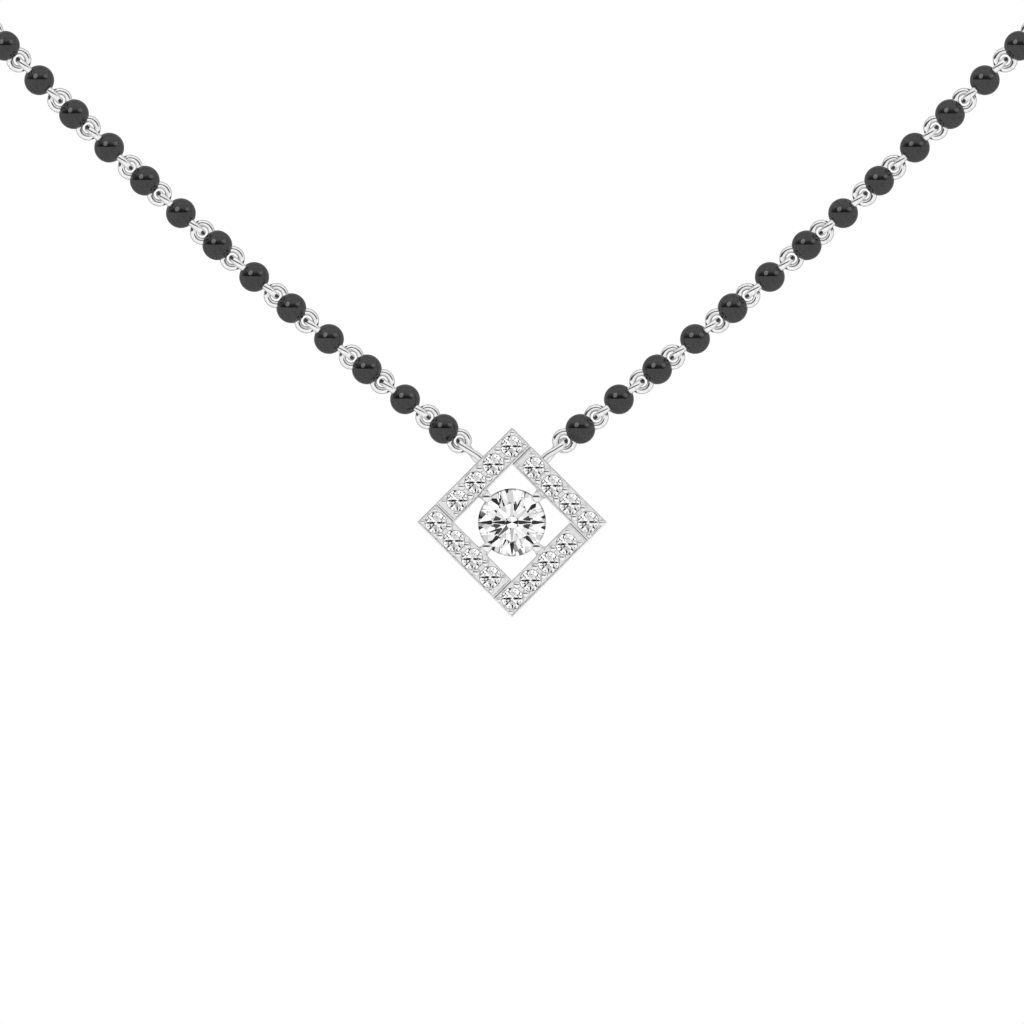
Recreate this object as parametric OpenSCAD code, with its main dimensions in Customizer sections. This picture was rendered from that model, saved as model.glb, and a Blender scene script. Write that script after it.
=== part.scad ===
// Mangalsutra: a square pendant on point, hung from a loop of black beads on eye pins.
// Millimetres, +Z up, the pendant faces -Y, the origin is the middle of the clasp at the nape.

/* [Strand] */
// Length of the whole loop, along the beads and across the pendant
loop_length = 406; // [380:2:460]
// Length of the clasp, from the one linked eye to the other
clasp_length = 14; // [11:0.5:18]
// Diameter of the clasp's barrel
clasp_d = 2.8; // [2.2:0.1:3.4]
// Bevel at each end of the clasp's barrel
clasp_bevel = 0.5; // [0.2:0.05:0.8]

/* [Beads and eye pins] */
// Diameter of a bead
bead_d = 2.2; // [1.9:0.05:2.6]
// Wire of the eyes and of the two pendant links
wire_d = 0.52; // [0.44:0.02:0.6]
// Wire of an eye pin where it runs through its bead
shank_d = 0.42; // [0.3:0.02:0.5]
// Play between two linked eyes
link_gap = 0.14; // [0.13:0.01:0.2]
// Gap between a bead and the tip of its neighbour's eye
tip_gap = 0.089; // [0.06:0.001:0.2]
// Play of a pin in the drilled and sawn bead
bore_gap = 0.1; // [0.05:0.01:0.14]

/* [Hang of the strand] */
// Rise of the strand at the first bead, in degrees
front_rise = 37.21; // [32:0.01:42]
// Degrees by which it grows steeper in each millimetre
front_steepening = 0.1616; // [0.1:0.0001:0.22]
// Growth of that steepening, in degrees per square millimetre
front_curl = 0.000774; // [0:0.000001:0.0015]
// Stretch on each side that hangs in one upright plane
flat_length = 44.5; // [35:0.5:55]
// Share of the stretch behind it that bends over the shoulder
shoulder_share = 0.25; // [0.2:0.01:0.4]
// How late the rise falls off on the way to the nape
fall_power = 0.75; // [0.6:0.01:1]

/* [Pendant frame] */
// Side of the square frame
frame_side = 9.84; // [9.4:0.02:10.4]
// Width of a rail
rail_w = 1.92; // [1.84:0.02:2.1]
// Metal from the face of a rail down to its hollow back
plate_t = 0.95; // [0.9:0.01:1.2]
// Wall on each side of the hollow back
wall_t = 0.35; // [0.28:0.01:0.42]
// Width of the raised border round each bar
border_w = 0.12; // [0.06:0.01:0.13]
// Depth of the sunk field inside the border
field_depth = 0.12; // [0.06:0.01:0.2]
// Width of the seam where a bar meets the side of the next
seam_w = 0.07; // [0.04:0.01:0.1]
// Depth of that seam
seam_depth = 0.22; // [0.15:0.01:0.4]

/* [Small stones] */
// Diameter of a small stone
melee_d = 1.55; // [1.4:0.01:1.6]
// Spacing of the small stones along a bar
melee_pitch = 1.875; // [1.75:0.005:1.9]
// Distance from the end of a bar to the middle of its corner stone
corner_inset = 1; // [0.94:0.01:1.06]
// Play between a small stone and its seat
seat_gap = 0.03; // [0.02:0.005:0.05]
// Diameter of the hole behind each small stone
window_d = 0.8; // [0.6:0.02:0.9]
// Diameter of a grain between two small stones
grain_d = 0.46; // [0.3:0.01:0.47]
// Diameter of a grain at the end of a bar
end_grain_d = 0.36; // [0.24:0.01:0.38]
// Gap between a grain and the stones beside it
grain_gap = 0.04; // [0.02:0.005:0.06]
// Angle of an end grain off the line of its bar, seen from the end stone
end_grain_angle = 38; // [30:1:50]

/* [Centre stone] */
// Diameter of the centre stone
centre_d = 4.98; // [4.6:0.02:5.1]
// Diameter of the ball at the tip of a claw
claw_tip_d = 0.7; // [0.5:0.02:0.76]
// Diameter of a claw's post
claw_d = 0.58; // [0.46:0.02:0.6]
// Play between the centre stone and its claws
claw_gap = 0.04; // [0.03:0.005:0.08]
// Distance from the edge of the centre stone out to the middle of a claw's ball
claw_reach = 0.08; // [0.04:0.01:0.12]
// Length of a claw below the face of the frame
claw_depth = 1.3; // [1:0.05:1.8]

/* [Pendant links] */
// Rise of a link from the frame to the first eye, in degrees
link_rise = 43; // [40:0.5:48]
// Length of a link that shows between the frame and the eye's middle
link_out = 2.03; // [1.95:0.01:2.6]
// Distance from the middle of a rail to its link, towards the top corner
link_offset = 1.57; // [1:0.01:2.2]
// Twist of a link about its own length, in degrees
link_twist = 10; // [0:1:14]
// Height of the lip of rail wall that a link goes round
lip_h = 0.475; // [0.4:0.005:0.6]
// Metal between the link's hole and the face plate
hole_roof = 0.1; // [0.05:0.01:0.3]

/* [Hidden] */
$fn = 48;
// How far a cut runs past the face that it opens
OVER = 1;

// Cut of every stone, as shares of its diameter: a round brilliant
TABLE_SHARE = 0.57;
CROWN_SHARE = 0.15;
PAVILION_SHARE = 0.43;
GIRDLE_SHARE = 0.03;
STAR_SHARE = 0.5;
// How near the middle the lower girdle facets reach: the small stones have broader mains
CENTRE_LOWER = 0.19;
MELEE_LOWER = 0.3;
// Girdle points to each of the sixteen girdle facets
CENTRE_STEPS = 4;
MELEE_STEPS = 2;

// Eye pins: an eye's middle wire, its place from the bead's middle, and the bead spacing
eye_r = wire_d + link_gap;
bead_spacing = bead_d + eye_r + wire_d + 2 * tip_gap;
eye_out = (bead_spacing - eye_r) / 2;
slot_r = eye_r + wire_d / 2 + bore_gap;
slot_w = wire_d + 2 * bore_gap;

// Frame: half of its side outside and inside, its hollow back and its place front to back
half_side = frame_side / 2;
half_inner = half_side - rail_w;
hole_d = wire_d + 2 * link_gap;
hollow_depth = lip_h + hole_d + hole_roof;
frame_depth = plate_t + hollow_depth;
face_y = lip_h / 2 - frame_depth;
row_y = half_side - rail_w / 2;
corner_x = half_side - corner_inset;
PER_BAR = 4;
BARS = 4;

// Small stones: the girdle lies just under the sunk field
melee_girdle = GIRDLE_SHARE * melee_d;
melee_z = -field_depth - melee_girdle / 2;
pavilion_slope = 2 * PAVILION_SHARE;
seat_r = melee_d / 2 + seat_gap;
grain_z = melee_z + melee_girdle;
grain_out = melee_d / 2 + grain_gap + grain_d / 2;
grain_across = sqrt(max(0, grain_out * grain_out - melee_pitch * melee_pitch / 4));
end_grain_out = melee_d / 2 + grain_gap + end_grain_d / 2;

// Centre stone: the girdle is level with the face of the frame
centre_r = centre_d / 2;
centre_girdle = GIRDLE_SHARE * centre_d;
crown_slope = CROWN_SHARE / (0.5 - TABLE_SHARE / 2);
post_r = centre_r + claw_gap + claw_d / 2;
tip_x = centre_r + claw_reach;
tip_z = centre_girdle / 2 + (claw_tip_d / 2 + claw_gap) * sqrt(1 + crown_slope * crown_slope)
    - (tip_x - centre_r) * crown_slope;
// The ledge is a ball a little thinner than the post
ledge_d = 0.9 * claw_d;
ledge_x = post_r - claw_d / 2;
ledge_z = -centre_girdle / 2 - (ledge_d / 2 + claw_gap) * sqrt(1 + pavilion_slope * pavilion_slope)
    + (ledge_x - centre_r) * pavilion_slope;

// Links: half their middle width, their whole middle length, and where they meet the frame
link_half = (lip_h + wire_d) / 2 + link_gap;
link_length = link_out + wall_t + link_gap + wire_d / 2;
link_foot = [(half_side - link_offset) / sqrt(2), 0, (half_side + link_offset) / sqrt(2)];
first_eye = link_foot + link_out * heading(link_rise, 0);

// Strand: beads on each side, and the heading of every bead from the pendant to the nape
side_length = (loop_length - clasp_length) / 2 - link_foot[0] - link_out;
bead_count = round((side_length + eye_r / 2) / bead_spacing);
last_bead = bead_count - 1;
first_joint = first_eye - eye_r / 2 * heading(front_rise, 0);
shoulder_turn = solve_turn(0, 180, 30);
joints = route(shoulder_turn);
nape = [0, joints[bead_count][1], joints[bead_count][2]];

function heading(rise, turn) = [cos(rise) * cos(turn), cos(rise) * sin(turn), sin(rise)];
function ease(t) = t * t * (3 - 2 * t);
function way_back(k) =
    max(0, min(1, (k * bead_spacing - flat_length) / (last_bead * bead_spacing - flat_length)));
function front_law(s) = front_rise + front_steepening * s + front_curl * s * s;
function rise(k) =
    front_law(min(k * bead_spacing, flat_length)) * (1 - ease(pow(way_back(k), fall_power)));
function turn(k, bend) = way_back(k) < shoulder_share
    ? bend * way_back(k) / shoulder_share
    : bend + (180 - bend) * (way_back(k) - shoulder_share) / (1 - shoulder_share);

// The joints between the beads, each one bead spacing on from the last
function route(bend) = [
    for (k = 0, p = first_joint; k <= bead_count;
         p = p + bead_spacing * heading(rise(k), turn(k, bend)), k = k + 1) p
];

// The bend over the shoulder that brings the last joint to the end of the clasp
function solve_turn(low, high, steps) = steps == 0
    ? (low + high) / 2
    : route((low + high) / 2)[bead_count][0] > clasp_length / 2
        ? solve_turn((low + high) / 2, high, steps - 1)
        : solve_turn(low, (low + high) / 2, steps - 1);

// Height on the plane through three points, above the point at radius r and angle a
function plane_z(p, q, s, r, a) =
    let (n = cross(q - p, s - p), x = r * cos(a), y = r * sin(a))
    p[2] - (n[0] * (x - p[0]) + n[1] * (y - p[1])) / n[2];
function ring_point(r, a, z) = [r * cos(a), r * sin(a), z];

// A round brilliant with its table up: table, stars, kites, girdle facets and pavilion mains
module brilliant(d, lower_share, steps) {
    r = d / 2;
    table_r = TABLE_SHARE * r;
    table_flat = table_r * cos(22.5);
    star_r = table_flat + STAR_SHARE * (r - table_flat);
    lower_r = lower_share * r;
    g = GIRDLE_SHARE * d / 2;
    crown = CROWN_SHARE * d;
    pavilion = PAVILION_SHARE * d;
    star_z = g + crown * (r - star_r * cos(22.5)) / (r - table_r);
    lower_z = -g - pavilion * (r - lower_r * cos(22.5)) / r;
    around = 16 * steps;
    tip = [r, 0, g];
    next = ring_point(r, 22.5, g);
    star = ring_point(star_r, 22.5, star_z);
    under_tip = [r, 0, -g];
    under_next = ring_point(r, 22.5, -g);
    under = ring_point(lower_r, 22.5, lower_z);
    crown_edge = [for (i = [0 : steps]) plane_z(tip, next, star, r, i * 22.5 / steps)];
    lower_edge = [for (i = [0 : steps]) plane_z(under_tip, under_next, under, r, i * 22.5 / steps)];
    fold = function (i) let (m = i % (2 * steps)) m <= steps ? m : 2 * steps - m;
    points = concat(
        [for (k = [0 : 7]) ring_point(table_r, 45 * k, g + crown)],
        [for (k = [0 : 7]) ring_point(star_r, 45 * k + 22.5, star_z)],
        [for (i = [0 : around - 1]) ring_point(r, i * 22.5 / steps, crown_edge[fold(i)])],
        [for (i = [0 : around - 1]) ring_point(r, i * 22.5 / steps, lower_edge[fold(i)])],
        [for (k = [0 : 7]) ring_point(lower_r, 45 * k + 22.5, lower_z)],
        [[0, 0, -g - pavilion]]
    );
    upper = 16;
    lower = upper + around;
    mains = lower + around;
    culet = mains + 8;
    faces = concat(
        [[for (k = [7 : -1 : 0]) k]],
        [for (k = [0 : 7]) [k, (k + 1) % 8, 8 + k]],
        [for (k = [0 : 7]) [k, 8 + k, upper + 2 * steps * k, 8 + (k + 7) % 8]],
        [for (k = [0 : 7], h = [0, 1]) concat([8 + k],
            [for (i = [steps : -1 : 0]) upper + (2 * steps * k + steps * h + i) % around])],
        [for (i = [0 : around - 1])
            [upper + i, upper + (i + 1) % around, lower + (i + 1) % around, lower + i]],
        [for (k = [0 : 7], h = [0, 1]) concat(
            [for (i = [0 : steps]) lower + (2 * steps * k + steps * h + i) % around], [mains + k])],
        [for (k = [0 : 7]) [mains + (k + 7) % 8, lower + 2 * steps * k, mains + k, culet]]
    );
    polyhedron(points, faces);
}

// A wire ring about the Y axis: one eye
module eye() {
    rotate([90, 0, 0]) rotate_extrude() translate([eye_r, 0]) circle(d = wire_d);
}

// An eye pin along X: an eye at each end of its shank
module eye_pin() {
    shank = eye_out - eye_r;
    translate([-shank, 0, 0]) rotate([0, 90, 0]) cylinder(d = shank_d, h = 2 * shank);
    translate([-eye_out, 0, 0]) eye();
    translate([eye_out, 0, 0]) eye();
}

// A round bead on X: turned with its bore, and sawn at both ends for the eyes
module bead() {
    bore_r = shank_d / 2 + bore_gap;
    difference() {
        rotate([0, 90, 0]) rotate_extrude() difference() {
            circle(d = bead_d);
            translate([bore_r - bead_d, -bead_d]) square([bead_d, 2 * bead_d]);
        }
        for (end = [-1, 1])
            translate([end * eye_out, slot_w / 2, 0]) rotate([90, 0, 0]) cylinder(r = slot_r, h = slot_w);
    }
}

// Puts a bead or a pin at its place on the right side, each a quarter turn on from the last
module on_strand(k) {
    middle = (joints[k] + joints[k + 1]) / 2 - nape;
    translate(middle) rotate([0, -rise(k), turn(k, shoulder_turn)]) rotate([90 * (k % 2), 0, 0]) children();
}

// Puts a link along X, with its tip in the first eye of the right side
module at_link() {
    translate(first_eye - nape) rotate([0, -link_rise, 0]) rotate([link_twist, 0, 0]) children();
}

// Puts the square frame on point, with its face to the front
module at_frame() {
    translate([0, face_y, 0] - nape) rotate([90, 0, 0]) rotate(45) children();
}

// Half a ring of wire in the plane X-Y, open towards -X
module half_ring(r) {
    rotate(-90) rotate_extrude(angle = 180) translate([r, 0]) circle(d = wire_d);
}

// A long oval link, from its tip at the origin back along -X
module oval_link() {
    straight = link_length - 2 * link_half;
    translate([-link_half, 0, 0]) half_ring(link_half);
    translate([-link_half - straight, 0, 0]) rotate(180) half_ring(link_half);
    for (side = [-1, 1]) translate([-link_half - straight, side * link_half, 0]) rotate([0, 90, 0]) {
        cylinder(d = wire_d, h = straight);
        // A thinner core runs on into both bends, so that the wire is one piece
        translate([0, 0, -wire_d / 4]) cylinder(d = wire_d / 2, h = straight + wire_d / 2);
    }
}

// The hole through the rail wall that the front leg of a link passes
module link_hole() {
    at_link() translate([-link_length + wire_d / 2, -link_half, 0])
        rotate([0, 90, 0]) cylinder(d = hole_d, h = link_length - link_out + wall_t);
}

// A square block about the Z axis, between two heights
module square_block(half, low, high) {
    translate([-half, -half, low]) cube([2 * half, 2 * half, high - low]);
}

// Where small stone k of a bar sits: 0 is the corner stone
function melee_x(k) = corner_x - k * melee_pitch;

// The cut for one small stone: its seat, and the window behind it
module seat() {
    bottom = melee_z - melee_girdle / 2;
    window_drop = (seat_r - window_d / 2) * pavilion_slope;
    translate([0, 0, bottom]) cylinder(r = seat_r, h = OVER);
    translate([0, 0, bottom - window_drop]) cylinder(r1 = window_d / 2, r2 = seat_r, h = window_drop);
    translate([0, 0, -plate_t - OVER]) cylinder(d = window_d, h = bottom + plate_t + OVER);
}

// The cuts in the face of one bar: the seam at its start, its sunk field and its seats
module bar_cuts() {
    start = -half_inner;
    field_x = start + seam_w / 2 + border_w;
    field_y = half_inner + border_w;
    translate([start - seam_w / 2, half_inner, -seam_depth]) cube([seam_w, rail_w + OVER, OVER]);
    translate([field_x, field_y, -field_depth])
        cube([half_side - border_w - field_x, half_side - border_w - field_y, OVER]);
    for (k = [0 : PER_BAR - 1]) translate([melee_x(k), row_y, 0]) seat();
}

// The grains of one bar: a pair between each two stones, and a pair at each end
module bar_grains() {
    end_step = end_grain_out * cos(end_grain_angle);
    end_across = end_grain_out * sin(end_grain_angle);
    for (side = [-1, 1]) {
        for (k = [0 : PER_BAR - 2])
            translate([melee_x(k + 0.5), row_y + side * grain_across, grain_z]) sphere(d = grain_d);
        for (x = [melee_x(0) + end_step, melee_x(PER_BAR - 1) - end_step])
            translate([x, row_y + side * end_across, grain_z]) sphere(d = end_grain_d);
    }
}

// One claw at +X: its post on the rail, its ball over the crown and its ledge under the girdle
module claw() {
    translate([post_r, 0, -claw_depth]) cylinder(d = claw_d, h = claw_depth + tip_z);
    translate([post_r, 0, tip_z]) sphere(d = claw_d);
    translate([tip_x, 0, tip_z]) sphere(d = claw_tip_d);
    translate([ledge_x, 0, ledge_z]) sphere(d = ledge_d);
}

// The square frame lying flat: four bars that chase each other round, one casting
module flat_frame() {
    difference() {
        square_block(half_side, -frame_depth, 0);
        square_block(half_inner, -frame_depth - OVER, OVER);
        difference() {
            square_block(half_side - wall_t, -frame_depth - OVER, -plate_t);
            square_block(half_inner + wall_t, -frame_depth - 2 * OVER, OVER);
        }
        for (i = [0 : BARS - 1]) rotate(-90 * i) bar_cuts();
    }
    for (i = [0 : BARS - 1]) rotate(-90 * i) {
        bar_grains();
        claw();
    }
}

module pendant_frame() {
    color("gainsboro") difference() {
        at_frame() flat_frame();
        for (side = [0, 1]) mirror([side, 0, 0]) link_hole();
    }
}

module centre_stone() {
    color("white") at_frame() rotate(-45) brilliant(centre_d, CENTRE_LOWER, CENTRE_STEPS);
}

// Small stone number n of sixteen, counted from the top corner round by bars
module melee_stone(n) {
    bar = floor((n - 1) / PER_BAR);
    k = (n - 1) % PER_BAR;
    color("white") at_frame() rotate(-90 * bar) translate([melee_x(k), row_y, melee_z])
        rotate(90 * bar - 45) brilliant(melee_d, MELEE_LOWER, MELEE_STEPS);
}

module pendant_link() {
    color("gainsboro") at_link() oval_link();
}

module bead_string() {
    color("dimgray") for (k = [0 : last_bead]) on_strand(k) bead();
}

module pin_string() {
    color("gainsboro") for (k = [0 : last_bead]) on_strand(k) eye_pin();
}

// A plain barrel with an eye at each end, across the nape
module clasp() {
    eye_x = (clasp_length - eye_r) / 2;
    barrel = 2 * (eye_x - 2 * eye_r - wire_d);
    inner = barrel - 2 * clasp_bevel;
    color("gainsboro") rotate([90 * (bead_count % 2), 0, 0]) {
        for (end = [0, 180]) rotate([0, end, 0]) {
            translate([eye_x, 0, 0]) eye();
            rotate([0, 90, 0]) cylinder(d = wire_d, h = eye_x - eye_r);
            translate([inner / 2, 0, 0]) rotate([0, 90, 0])
                cylinder(d1 = clasp_d, d2 = clasp_d - 2 * clasp_bevel, h = clasp_bevel);
        }
        translate([-inner / 2, 0, 0]) rotate([0, 90, 0]) cylinder(d = clasp_d, h = inner);
    }
}

pendant_frame();
centre_stone();
melee_stone(1);  // stone_01
melee_stone(2);  // stone_02
melee_stone(3);  // stone_03
melee_stone(4);  // stone_04
melee_stone(5);  // stone_05
melee_stone(6);  // stone_06
melee_stone(7);  // stone_07
melee_stone(8);  // stone_08
melee_stone(9);  // stone_09
melee_stone(10);  // stone_10
melee_stone(11);  // stone_11
melee_stone(12);  // stone_12
melee_stone(13);  // stone_13
melee_stone(14);  // stone_14
melee_stone(15);  // stone_15
melee_stone(16);  // stone_16
mirror([1, 0, 0]) pendant_link();  // pendant_link_left
pendant_link();  // pendant_link_right
mirror([1, 0, 0]) pin_string();  // eye_pins_left
pin_string();  // eye_pins_right
mirror([1, 0, 0]) bead_string();  // beads_left
bead_string();  // beads_right
clasp();
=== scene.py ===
"""The mangalsutra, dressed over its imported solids.

Sizes are in millimetres in the frame of the solids, and every mesh is scaled to metres when it is made.
A shape is a pair: an array of points, and a list of arrays of faces that index them.
"""
from typing import NamedTuple

import bpy
import numpy as np
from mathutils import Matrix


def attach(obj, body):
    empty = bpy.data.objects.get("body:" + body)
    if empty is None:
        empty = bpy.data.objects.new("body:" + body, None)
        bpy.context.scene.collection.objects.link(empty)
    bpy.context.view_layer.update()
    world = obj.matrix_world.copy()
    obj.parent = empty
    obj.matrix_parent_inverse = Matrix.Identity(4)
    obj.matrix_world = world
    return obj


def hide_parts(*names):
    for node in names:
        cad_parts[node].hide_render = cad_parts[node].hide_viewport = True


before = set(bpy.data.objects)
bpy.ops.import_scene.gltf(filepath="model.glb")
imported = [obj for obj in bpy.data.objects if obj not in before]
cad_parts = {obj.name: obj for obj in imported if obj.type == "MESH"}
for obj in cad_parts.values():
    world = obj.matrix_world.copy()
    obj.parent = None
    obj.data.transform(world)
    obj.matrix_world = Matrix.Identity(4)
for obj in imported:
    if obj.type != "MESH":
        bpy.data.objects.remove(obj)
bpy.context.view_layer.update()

MM = 0.001
SIDES = {"right": 1, "left": -1}

# Strand
LOOP_LENGTH = 406.0
CLASP_LENGTH = 14.0
CLASP_D = 2.8
CLASP_BEVEL = 0.5
BEAD_D = 2.2
WIRE_D = 0.52
SHANK_D = 0.42
LINK_GAP = 0.14
TIP_GAP = 0.089
FRONT_RISE = 37.21
FRONT_STEEPENING = 0.1616
FRONT_CURL = 0.000774
FLAT_LENGTH = 44.5
SHOULDER_SHARE = 0.25
FALL_POWER = 0.75
BEND_STEPS = 30

# Pendant frame, flat with its face up before it is hung on point
FRAME_SIDE = 9.84
RAIL_W = 1.92
PLATE_T = 0.95
WALL_T = 0.35
BORDER_W = 0.12
FIELD_DEPTH = 0.12
SEAM_W = 0.07
SEAM_DEPTH = 0.22
BARS = 4
PER_BAR = 4
MELEE_D = 1.55
MELEE_PITCH = 1.875
CORNER_INSET = 1.0
WINDOW_D = 0.8
CENTRE_D = 4.98
CLAW_DEPTH = 1.3
CLAW_D = 0.58
CLAW_GAP = 0.04
CLAW_REACH = 0.08
LIP_H = 0.475
HOLE_ROOF = 0.1

# The oval links, whose two wires cross between the tip at the first eye and the frame
LINK_RISE = 43.0
LINK_OUT = 2.03
LINK_OFFSET = 1.57
LINK_TWIST = 10.0
CROSSING_START = -0.35
CROSSING_END = -1.9

# Shape of the finished metal: its softened edges, the grains as the setter raised them, and the claws
EDGE_ROUND = 0.05
BORDER_ROUND = 0.03
BORDER_SLOPE = 0.05
CORNER_ROUND = 0.06
SEAT_GAP = 0.03
GRAIN_D = 0.58
GRAIN_ACROSS = 0.46
END_GRAIN_D = 0.42
END_GRAIN_ALONG = 0.74
END_GRAIN_ACROSS = 0.63
CLAW_BALL_D = 0.7
CLAW_FLATNESS = 0.6
GRAIN_FLATNESS = 0.88
CLAW_FOOT_D = 1.1
CLAW_FOOT_T = 0.5
POST_DROP = 0.1

# For the solid steps: how far a joint reaches, how deep it lies under the skin, the gap that a cut
# leaves, how far a cut runs past the metal, and the least radius of a corner
JOINER_REACH = 0.2
SKIN = 0.002
SNUG = 0.02
OVER = 1.0
LEAST_RADIUS = 0.002

# Shares of every stone, a round brilliant. Halfway up, its crown is fuller than a straight cone
GIRDLE_SHARE = 0.03
CROWN_SHARE = 0.15
TABLE_SHARE = 0.57
PAVILION_SHARE = 0.43
CROWN_FULLNESS = 1.09

# Finishes. A pattern's scale is in waves to the metre, and its span is the stretch of the noise that shows
WORN_GOLD = (0.84, 0.84, 0.85)
BRIGHT_GOLD = (0.88, 0.88, 0.885)
# Painted shade: the dark colour that the frame's sunk places are given
RECESS_SHADE_GOLD = (0.3, 0.3, 0.31)
GOLD_ROUGHNESS = 0.03
HAZE_ROUGHNESS = 0.04
DULL_ROUGHNESS = 0.25
HAZE_SCALE = 900.0
HAZE_SPAN = (0.35, 0.7)
RIPPLE_SCALE = 2500.0
RIPPLE_STRENGTH = 0.02
RIPPLE_HEIGHT = 0.00002
RECESS_LOW = 0.01
RECESS_HIGH = 0.05
DEEP_BLACK = (0.009, 0.009, 0.0095)
CLOUDED_BLACK = (0.016, 0.016, 0.016)
ONYX_ROUGHNESS = 0.06
CLOUD_ROUGHNESS = 0.05
CLOUD_SCALE = 700.0
CLOUD_SPAN = (0.3, 0.75)
ONYX_IOR = 1.58
FAINT_TINT = (0.985, 0.988, 0.99)
CLEAR = (1.0, 1.0, 1.0)
TINT_SCALE = 400.0
TINT_SPAN = (0.3, 0.7)
DIAMOND_IOR = 2.42
DIAMOND_SPECULAR = (0.1, 0.1, 0.1, 1.0)
PALE_FLOOR = (0.86, 0.86, 0.86)
PALER_FLOOR = (0.88, 0.88, 0.88)
FLOOR_SCALE = 30.0
FLOOR_ROUGHNESS = 0.8

# The girdle of the centre stone, in shares of its radius: where it begins, and from where to where up the
# stone its grey falls from pale to dark. The grey is the frosted girdle's own; its fall to dark towards the
# top is painted shade
RIM_START = 0.945
RIM_FULL = 0.97
RIM_PALE_UP = -0.2
RIM_DARK_UP = 0.7
RIM_PALE = 0.5
RIM_DARK = 0.12

# Floor and camera
FLOOR_R = 2000.0
FLOOR_Z = -160.0
FLOOR_SIDES = 96
PHOTO_SPAN = 75.0
PHOTO_MIDDLE_Z = -80.76

# Worked out from the sizes above
EYE_R = WIRE_D + LINK_GAP
BEAD_SPACING = BEAD_D + EYE_R + WIRE_D + 2 * TIP_GAP
EYE_OUT = (BEAD_SPACING - EYE_R) / 2
HALF_SIDE = FRAME_SIDE / 2
HALF_INNER = HALF_SIDE - RAIL_W
HOLE_D = WIRE_D + 2 * LINK_GAP
FRAME_DEPTH = PLATE_T + LIP_H + HOLE_D + HOLE_ROOF
FACE_Y = LIP_H / 2 - FRAME_DEPTH
ROW_Y = HALF_SIDE - RAIL_W / 2
CORNER_X = HALF_SIDE - CORNER_INSET
MELEE_GIRDLE = GIRDLE_SHARE * MELEE_D
MELEE_Z = -FIELD_DEPTH - MELEE_GIRDLE / 2
GRAIN_Z = MELEE_Z + MELEE_GIRDLE
CENTRE_R = CENTRE_D / 2
CROWN_SLOPE = CROWN_SHARE / (0.5 - TABLE_SHARE / 2)
POST_R = CENTRE_R + CLAW_GAP + CLAW_D / 2
TIP_X = CENTRE_R + CLAW_REACH
CLAW_TIP_T = CLAW_BALL_D * CLAW_FLATNESS
TIP_Z = (GIRDLE_SHARE * CENTRE_D / 2 + np.hypot(CLAW_BALL_D * CROWN_SLOPE, CLAW_TIP_T) / 2
         + CLAW_GAP * np.hypot(1, CROWN_SLOPE) - CLAW_REACH * CROWN_SLOPE)
LINK_HALF = (LIP_H + WIRE_D) / 2 + LINK_GAP
LINK_LENGTH = LINK_OUT + WALL_T + LINK_GAP + WIRE_D / 2


# Turns and places

def turn_matrix(axis, degrees):
    """The matrix of a turn about X, Y or Z, counted as a right-hand screw."""
    c, s = np.cos(np.radians(degrees)), np.sin(np.radians(degrees))
    first, second = {"x": (1, 2), "y": (2, 0), "z": (0, 1)}[axis]
    matrix = np.eye(3)
    matrix[first, first] = matrix[second, second] = c
    matrix[first, second], matrix[second, first] = -s, s
    return matrix


def heading(rise, turn):
    """The direction that rises by one angle and turns from +X towards +Y by the other, in degrees."""
    rise, turn = np.radians(rise), np.radians(turn)
    return np.stack([np.cos(rise) * np.cos(turn), np.cos(rise) * np.sin(turn), np.sin(rise)], -1)


LINK_FOOT = np.array([HALF_SIDE - LINK_OFFSET, 0, HALF_SIDE + LINK_OFFSET]) / np.sqrt(2)
FIRST_EYE = LINK_FOOT + LINK_OUT * heading(LINK_RISE, 0.0)
SIDE_LENGTH = (LOOP_LENGTH - CLASP_LENGTH) / 2 - LINK_FOOT[0] - LINK_OUT
BEAD_COUNT = round((SIDE_LENGTH + EYE_R / 2) / BEAD_SPACING)


def strand_headings(bend):
    """Rise and turn of each bead on the right side, in degrees, from the pendant to the nape.

    The rise steepens by a square law along the flat stretch and then eases down to nothing at the
    nape. The turn grows evenly to the bend over the shoulder and then evenly on to 180 degrees.
    """
    along = np.arange(BEAD_COUNT) * BEAD_SPACING
    back = np.clip((along - FLAT_LENGTH) / (along[-1] - FLAT_LENGTH), 0, 1)
    flat = np.minimum(along, FLAT_LENGTH)
    late = back ** FALL_POWER
    rise = (FRONT_RISE + FRONT_STEEPENING * flat + FRONT_CURL * flat ** 2) * (1 - late ** 2 * (3 - 2 * late))
    past = (back - SHOULDER_SHARE) / (1 - SHOULDER_SHARE)
    turn = np.where(past < 0, bend * back / SHOULDER_SHARE, bend + (180 - bend) * past)
    return rise, turn


def strand_joints(bend):
    """The joints between the beads: each lies one bead spacing on along the heading of its bead."""
    first = FIRST_EYE - EYE_R / 2 * heading(FRONT_RISE, 0.0)
    steps = BEAD_SPACING * heading(*strand_headings(bend))
    return np.vstack([first, first + np.cumsum(steps, axis=0)])


def solve_bend():
    """Halves the range of the shoulder bend until the last joint meets the end of the clasp."""
    low, high = 0.0, 180.0
    for _ in range(BEND_STEPS):
        middle = (low + high) / 2
        if strand_joints(middle)[-1, 0] > CLASP_LENGTH / 2:
            low = middle
        else:
            high = middle
    return (low + high) / 2


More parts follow.
